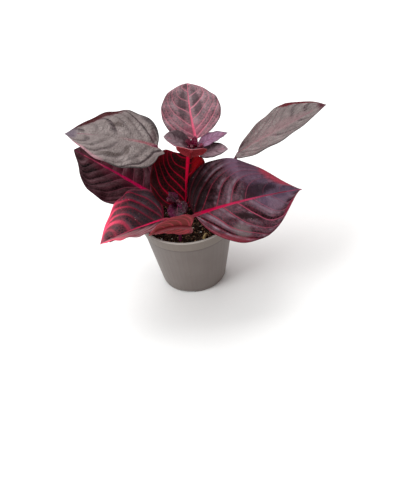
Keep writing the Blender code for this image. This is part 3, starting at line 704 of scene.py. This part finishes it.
violetLook = dict(
    budLook, dark=(106, 42, 84), light=(178, 138, 168), panel=(172, 124, 160), mottle=1.5,
    vein=(140, 60, 104), edge=(92, 40, 72), rib=(150, 40, 90), under=(90, 26, 58))
growLeaf("topRearRightLeaf", "leaf_top_rear_right", tallStem, dict(
    base=(12.6, 13.1, 86.1), joins=83, heading=24, pitch=23, length=20, width=10.5, droop=-34, fold=14,
    skew=-1, lobe=1, wave=0.3, stalk=0.9, veins=5, puff=0.1, pucker=0.05, seed=11), dict(
    violetLook, tints=((0.6, 1, 0.6, 0.3, (88, 44, 74), 0.85),)))
growLeaf("shortBackLeaf", "leaf_short_back", shortStem, dict(
    base=(-0.4, -11.1, 61.3), joins=57, heading=75.5, pitch=53, length=31.5, width=38.5, uneven=0.13,
    bend=-4.5, droop=-6, roll=10, twist=-9, fold=-17, skew=27, curlLeft=-4, curlRight=-26, widest=0.52,
    taper=0.19, lobe=1.4, lobeMore=6, wave=0.5, stalk=0.62, veins=4.6, lean=0.65, reach=0.95, ribAside=0.9,
    drift=0.5, pulls=((0.92, 14, 0.12, 4.5, -2.8),), puff=0.45, crumple=0.4, seed=12), dict(
    leafLook, dark=(13, 6, 6), light=(36, 16, 15), panel=(48, 30, 26), crease=(3, 1, 1), vein=(206, 4, 58),
    veinFar=(192, 4, 52), rib=(206, 6, 60), ribTip=(226, 6, 62), edge=(120, 8, 26), veinWidth=0.5,
    ribWidth=0.7, ribTaper=-2.5, ribEnd=1, lastVein=9, shine=0.05, rough=0.6, halo=0.15, net=0.15,
    creaseShare=0.9,
    tints=((0.3, 0.98, 0.6, 0.3, (46, 18, 22), 0.6), (0.9, 0.9, 0.2, 0.4, (120, 14, 30), 0.5),
           # the bright red tint on the right half is a painted glow of light shining through the leaf
           (0.6, -0.6, 0.7, 0.52, (196, 4, 24), 0.85))))
growLeaf("shortLeftLeaf", "leaf_short_left", shortStem, dict(
    base=(-14.5, -17, 58), joins=54.5, heading=182, pitch=-10, length=41, width=47, uneven=-0.1, bend=2,
    droop=-10, roll=-5, twist=17, fold=23, skew=1, curlLeft=1, curlRight=9, widest=0.4, taper=0.98, lobe=8,
    lobeMore=-2.6, drift=0.4, puff=0.4, crumple=0.5, veins=5, reach=0.75, lean=0.5, seed=13), dict(
    leafLook, dark=(24, 14, 20), light=(58, 48, 56), panel=(88, 80, 92), crease=(10, 3, 7),
    vein=(140, 14, 54), veinFar=(312, 98, 138), rib=(244, 26, 92), ribTip=(166, 82, 104), edge=(122, 50, 70),
    veinWidth=0.44, veinSwell=3.3, veinStart=0.55, veinEnd=1.5, ribWidth=2.2, ribEnd=1, dust=0.12, halo=0.12,
    lastVein=3.2, web=0.35, veinRight=0.95, veinLeft=1.2, veinTurn=0.35, shine=0.1,
    tints=((0.5, 0.65, 0.65, 0.55, (184, 136, 140), 0.8), (0.78, -0.6, 0.3, 0.5, (122, 92, 98), 0.6),
           (0.7, -0.98, 0.2, 0.2, (235, 60, 104), 0.4), (0.98, 0, 0.1, 1.5, (150, 80, 98), 0.9))))
growLeaf("shortRightLeaf", "leaf_short_right", shortStem, dict(
    base=(4.6, -22.2, 62.5), joins=54, heading=28.5, pitch=-8.5, length=75, width=60, uneven=-0.01,
    bend=-8.5, droop=-5, roll=40, twist=-8, fold=11.5, skew=-18.5, curlLeft=13, curlRight=-19.5, widest=0.38,
    taper=1.37, lobe=3.2, stalk=1.2, veins=6.6, tilt=0.2, reach=0.6, drift=0.4, puff=0.5, crumple=0.8,
    seed=14), dict(
    leafLook, dark=(54, 32, 40), light=(140, 114, 126), panel=(192, 168, 184), crease=(12, 4, 8),
    vein=(204, 58, 88), veinFar=(218, 112, 142), rib=(236, 6, 84), ribTip=(222, 100, 140), lastVein=3.6,
    edge=(92, 44, 58), veinWidth=0.42, firstVein=0.3, veinEnd=0.6, ribWidth=2.6, ribEnd=0.8, creaseShare=1.4,
    panelShare=1.0, relief=0.5, mottle=1.3, dust=0.2, shine=0.05, veinLeft=0.75, veinRight=1.35,
    tints=((0.02, 0.6, 0.36, 0.85, (24, 10, 10), 0.9), (0.02, 1, 0.4, 0.25, (34, 12, 18), 0.8),
           # painted sheen of the sky towards the tip (146, 126, 160), and painted shade in the hollow near
           # the tip (44, 20, 24)
           (0.8, 0.1, 0.34, 0.9, (146, 126, 160), 0.5), (0.61, 0.2, 0.24, 0.24, (44, 20, 24), 0.72, 0.8),
           # painted shade along a vein of the lower half
           (0.42, -0.45, 0.16, 0.13, (42, 22, 26), 0.9, -1.1),
           # a painted highlight (140, 126, 128) and painted sheen (156, 126, 146)
           (0.28, -0.72, 0.09, 0.22, (140, 126, 128), 0.6), (0.72, -0.45, 0.15, 0.3, (156, 126, 146), 0.6),
           # painted sheen (166, 130, 160), and a painted glow of light through the upper margin (255, 96,
           # 122)
           (0.58, 0.85, 0.2, 0.5, (166, 130, 160), 0.75), (0.81, 1.0, 0.15, 0.55, (255, 96, 122), 0.9),
           (0.16, -1, 0.22, 0.2, (150, 52, 66), 0.7), (0.85, -1, 0.2, 0.2, (176, 50, 82), 0.8))))
growLeaf("shortFrontLeaf", "leaf_short_front", shortStem, dict(
    base=(0.8, -31, 61), joins=51, approach=70, heading=194, pitch=34, length=26.5, width=16.5, uneven=0.18,
    droop=-56, roll=74, twist=-14, fold=4, skew=6, curlLeft=-8, curlRight=-14, widest=0.2, taper=0.9, lobe=4,
    lobeMore=-4, wave=0.3, crumple=0.6, stalk=0.7, veins=5, puff=0.15, pucker=0.06, seed=15), dict(
    leafLook, under=(156, 64, 62), underVein=(208, 72, 88), edge=(176, 62, 76), edgeWidth=0.06,
    stalk=(142, 46, 56)))
print("leaves grown")


# stems and shoot tips

stemGrain = dict(size=0.7, stretch=(1, 1, 0.25), colour=(0.16, 0.03, 0.05))


def stemFinish(stem):
    made = Finish(stem["paint"])
    streak = made.speckle(stemGrain["size"], 3, 0.5, 0, stemGrain["stretch"])
    tone = made.colour(made.height().rise(*stem["turns"]) + (streak - 0.5) * 0.3, stem["foot"], stem["top"])
    tone = made.colour(streak.rise(0.45, 0.75) * 0.35, tone, stemGrain["colour"])
    return made.finish(tone, 0.42, streak, depth=0.1, shine=0.4)


def growStem(name, node, stem):
    points = smoothLine(stem["line"], 90)
    radii = []
    for point in points:
        near = min(abs(point.z - height) for height in stem["joints"])
        swell = 0.25 * math.exp(-(near / 2.0) ** 2) if point.z > stem["line"][1][2] else 0
        radii.append(stemRadius(stem, point.z) * (1 + 0.5 * swell))
    mesh = tube(name, points, radii, stemFinish(stem), sides=24, ridge=0.12)
    settle(addObject(name, mesh), node)


growStem("tallStem", "tall_stem", tallStem)
growStem("shortStem", "short_stem", shortStem)

tipHabit = dict(leafHabit, wave=0.2, lobe=0.4, stalk=0.45, taper=0.9, veins=4, puff=0.1, pucker=0.05)
tipSeed = 20


def growTip(name, node, bud, leaves, look):
    bm = bmesh.new()
    bmesh.ops.create_icosphere(bm, subdivisions=3, radius=bud["radius"] * mm)
    bmesh.ops.scale(bm, vec=(1, 1, bud["height"] / (2 * bud["radius"])), verts=bm.verts)
    bmesh.ops.translate(bm, vec=Vector(bud["place"]) * mm, verts=bm.verts)
    core = bpy.data.meshes.new(name)
    bm.to_mesh(core)
    bm.free()
    core.shade_smooth()
    stalkPaint = stalkFinish(name + "Bud", look["stalk"])
    core.materials.append(stalkPaint)
    paint = leafFinish(name, look)
    parts = [core]
    for i, own in enumerate(leaves):
        leaf = SimpleNamespace(**{**tipHabit, "seed": tipSeed + i, **own})
        along = Vector(midribLine(leaf)[2][0])
        sheet = bladeMesh(name, leaf, blade["tipGrid"])
        sheet.materials.append(paint)
        parts += [sheet, tube(name, *stalkLine(leaf, Vector(bud["place"]), along), stalkPaint, sides=8)]
    settle(joined(name, parts), node)


tipLook = dict(
    violetLook, stalk=(96, 12, 44), dark=(8, 1, 4), light=(80, 10, 40), panel=(100, 24, 66), mottle=2.2,
    crease=(12, 2, 6), edge=(74, 6, 36), vein=(90, 14, 50), under=(40, 3, 14), shine=0.12, rough=0.24,
    tints=((0.5, -0.9, 0.7, 0.8, (104, 18, 66), 0.7), (0.1, 0, 0.3, 1.2, (16, 4, 9), 0.8)))

budTipLook = dict(
    tipLook, dark=(96, 10, 42), light=(142, 20, 66), panel=(146, 36, 84), stalk=(110, 12, 46),
    edge=(92, 12, 42), vein=(130, 20, 60), under=(92, 10, 38), tints=())
growTip("tallShootTip", "tall_shoot_tip", dict(place=(9.1, 12.8, 86.7), radius=1.0, height=2.6), [
    dict(base=(9.7, 13.2, 87.2), heading=60, pitch=80, length=6, width=4.6),
    dict(base=(8.2, 13, 86.6), heading=160, pitch=70, length=6.5, width=5.5),
    dict(base=(9.1, 11.6, 87.4), heading=250, pitch=62, length=6, width=5.5),
    dict(base=(10.4, 12, 86.2), heading=-25, pitch=44, length=6, width=5)], budTipLook)
growTip("shortShootTip", "short_shoot_tip", dict(place=(-4.3, -18.6, 71.3), radius=1.2, height=3.2), [
    dict(base=(-4.5, -19.6, 70.6), heading=258, pitch=-4, length=12.5, width=11.5, roll=4, droop=-62,
         taper=1.4, wave=0.5, crumple=0.8),
    dict(base=(-4.9, -18.6, 71.2), heading=150, pitch=56, length=8, width=7, droop=-10, taper=1.3, wave=0.4,
         crumple=0.8),
    dict(base=(-3.4, -19.4, 71.4), heading=300, pitch=6, length=7.5, width=5.5, droop=-70),
    dict(base=(-5.2, -18.9, 71.6), heading=196, pitch=48, length=7.5, width=6)], tipLook)
print("stems and tips grown")


# pot: colours, and heights in mm

potLook = dict(
    colour=(0.125, 0.1, 0.09), pale=(0.18, 0.152, 0.14), dust=(0.3, 0.27, 0.245),
    rimHighlight=(0.46, 0.42, 0.385), band=(0.2, 0.165, 0.135), shadow=(0.075, 0.058, 0.05), step=40.0,
    stepSoft=0.2, groove=(1.5, 0.1), footLine=(2.2, 2.5, 2.7, 3.2), rimTop=(47.1, 47.7))


def potFinish():
    made = Finish("taupePlastic")
    height = made.height()
    cloud = made.speckle(14.0, 4)
    fine = made.speckle(0.5, 2)
    scuff = made.speckle(1.6, 5, 0.65, 0.6, (1, 1, 0.25))
    step, soft = potLook["step"], potLook["stepSoft"]
    tone = made.colour(cloud, potLook["colour"], potLook["pale"])
    band = height.rise(step - soft, step + soft)
    tone = made.colour(band * 0.5, tone, potLook["band"])
    # painted shadow lines under the rim band's step and near the foot
    groove = height.rise(*[step - under for under in potLook["groove"]]) * (1 - band)
    tone = made.colour(groove * 0.6, tone, potLook["shadow"])
    foot = height.rise(*potLook["footLine"][:2]) * height.rise(*potLook["footLine"][2:], 1, 0)
    tone = made.colour(foot * 0.3, tone, potLook["shadow"])
    # a painted highlight along the top of the rim
    tone = made.colour(height.rise(*potLook["rimTop"]) * 0.85, tone, potLook["rimHighlight"])
    tone = made.colour(scuff.rise(0.6, 0.78) * 0.2, tone, potLook["dust"])
    return made.finish(tone, 0.42 + cloud * 0.12, fine + scuff, depth=0.04, shine=0.4)


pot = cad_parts["pot"]
pot.data.materials.clear()
pot.data.materials.append(potFinish())
print("pot painted")


# soil

soilForm = dict(
    edge=42.9, dome=1.0, relief=0.7, grain=0.22, lumps=0.5, lumpGrain=0.45, fade=1.5, rings=90, spokes=200,
    radius=26.6, floor=2.4, floorRadius=17.6)
soilLook = dict(
    dark=(0.003, 0.0015, 0.0015), light=(0.026, 0.015, 0.011), fleck=(0.09, 0.055, 0.035), clod=1.3,
    fine=0.4)


def soilFinish():
    made = Finish("peat")
    chance = made.cells(soilLook["clod"])[0]
    fine = made.speckle(soilLook["fine"], 4, 0.65)
    tone = made.colour(chance, soilLook["dark"], soilLook["light"])
    tone = made.colour(fine.rise(0.5, 0.75) * 0.5, tone, soilLook["fleck"])
    return made.finish(tone, 0.92, fine, depth=0.3, shine=0.02)


def soilMesh():
    rings, spokes, edge = soilForm["rings"], soilForm["spokes"], soilForm["radius"]
    angles = np.arange(spokes) * 2 * math.pi / spokes
    points = [(0, 0, soilForm["floor"])]
    for radius, height in ((soilForm["floorRadius"], soilForm["floor"]), (edge, soilForm["edge"])):
        points += [(radius * math.cos(a), radius * math.sin(a), height) for a in angles]
    for i in range(1, rings):
        share = i / rings
        radius = edge * (1 - share)
        z = soilForm["edge"] + soilForm["dome"] * math.sin(share * math.pi / 2)
        fade = min((edge - radius) / soilForm["fade"], 1)
        for a in angles:
            x, y = radius * math.cos(a), radius * math.sin(a)
            broad = noise.noise(Vector((x, y, z)) * soilForm["grain"])
            lumps = noise.fractal(Vector((x, y, 3)) * soilForm["lumpGrain"], 1.0, 2.0, 4)
            points.append((x, y, z + fade * (soilForm["relief"] * broad + soilForm["lumps"] * lumps)))
    points.append((0, 0, soilForm["edge"] + soilForm["dome"]))
    faces = []
    for k in range(spokes):
        n = (k + 1) % spokes
        faces.append((0, 1 + n, 1 + k))
        for i in range(rings):
            a, b = 1 + i * spokes, 1 + (i + 1) * spokes
            faces.append((a + k, a + n, b + n, b + k))
        last = 1 + rings * spokes
        faces.append((last + k, last + n, len(points) - 1))
    mesh = bpy.data.meshes.new("peat")
    mesh.from_pydata([[c * mm for c in p] for p in points], [], faces)
    mesh.shade_smooth()
    return mesh


crumbForm = dict(
    reach=25.6, above=40, turn=(6.28, 6.28, 6.28), least=(0.35, 0.35, 0.3), most=(1.5, 1.2, 1.0),
    ragged=1.6, clod=0.9, fine=0.3)
strewn = [  # name, number on a square mm, seed, size, roughness, detail, dark, light
    ("peatCrumbs", 1.5, 3, 1.0, 0.4, 1, (0.001, 0.0005, 0.0005), (0.17, 0.09, 0.058)),
    ("peatClods", 0.25, 8, 1.9, 0.4, 2, (0.008, 0.005, 0.004), (0.07, 0.04, 0.028)),
    ("perlite", 0.02, 5, 1.5, 0.25, 2, (0.5, 0.48, 0.44), (0.85, 0.83, 0.8)),
    ("barkBits", 0.2, 9, 1.0, 0.5, 2, (0.1, 0.05, 0.03), (0.66, 0.43, 0.26)),
]
fibre = dict(
    line=[(8, -22.2, 43.4), (8.8, -20.6, 44.4), (9.4, -19, 44.1), (10.4, -17.8, 43.5)], radius=0.13,
    steps=12, dark=(0.34, 0.24, 0.1), light=(0.6, 0.46, 0.24))


def crumbRecipe():  # rough little lumps strewn over the soil's surface
    made = Recipe("crumbs", Density=9.0, Seed=3, Size=0.7, Rough=0.35, Detail=2)
    place = made.add("ShaderNodeSeparateXYZ", None, {0: made.wire("GeometryNodeInputPosition")})
    x, y, z = [Wire(made, socket) for socket in place.outputs]
    inside = made.wire("FunctionNodeCompare", {"operation": "LESS_THAN"},
                       {0: x * x + y * y, 1: (crumbForm["reach"] * mm) ** 2})
    high = made.wire("FunctionNodeCompare", {"operation": "GREATER_THAN"}, {0: z, 1: crumbForm["above"] * mm})
    chosen = made.wire("FunctionNodeBooleanMath", {"operation": "AND"}, {0: inside, 1: high})
    spots = made.wire("GeometryNodeDistributePointsOnFaces", None, {
        "Mesh": made.given("Geometry"), "Selection": chosen, "Density": made.given("Density") / (mm * mm),
        "Seed": made.given("Seed")})
    lump = made.wire("GeometryNodeMeshIcoSphere", None,
                     {"Radius": mm * 0.5, "Subdivisions": made.given("Detail")})
    turn = made.chance((0, 0, 0), crumbForm["turn"], made.given("Seed"))
    stretch = made.chance(crumbForm["least"], crumbForm["most"], made.given("Seed") + 1)
    sized = made.scaled(stretch, made.given("Size"))
    placed = made.wire("GeometryNodeInstanceOnPoints", None,
                       {"Points": spots, "Instance": lump, "Rotation": turn, "Scale": sized})
    real = made.wire("GeometryNodeRealizeInstances", None, {0: placed})
    ragged = made.wire("ShaderNodeTexNoise", None, {"Scale": crumbForm["ragged"] / mm, "Detail": 2.0}, out=1)
    push = made.wire("ShaderNodeVectorMath", {"operation": "SUBTRACT"}, {0: ragged, 1: (0.5, 0.5, 0.5)})
    push = made.scaled(push, made.given("Rough") * made.given("Size") * mm * 2)
    made.end(made.wire("GeometryNodeSetPosition", None, {0: real, "Offset": push}))
    return made


def crumbFinish(name, dark, light):
    made = Finish(name)
    chance = made.cells(crumbForm["clod"])[0]
    fine = made.speckle(crumbForm["fine"], 3)
    tone = made.colour((chance * 0.8 + fine * 0.35) ** 2, dark, light)
    return made.finish(tone, 0.9, fine, depth=0.15, shine=0.04)


def fillPot():
    crumbs = crumbRecipe()
    ground = soilMesh()
    parts = [ground]
    for name, density, seed, size, rough, detail, dark, light in strewn:
        parts.append(crumbs.run(addObject(name, ground.copy()), Density=density, Seed=seed, Size=size,
                                Rough=rough, Detail=detail, Material=crumbFinish(name, dark, light)))
    ground.materials.append(soilFinish())
    line = smoothLine(fibre["line"], fibre["steps"])
    parts.append(tube("rootFibre", line, [fibre["radius"]] * len(line),
                      crumbFinish("rootFibre", fibre["dark"], fibre["light"]), sides=6))
    settle(joined("peat", parts), "soil")


fillPot()
print("pot filled")
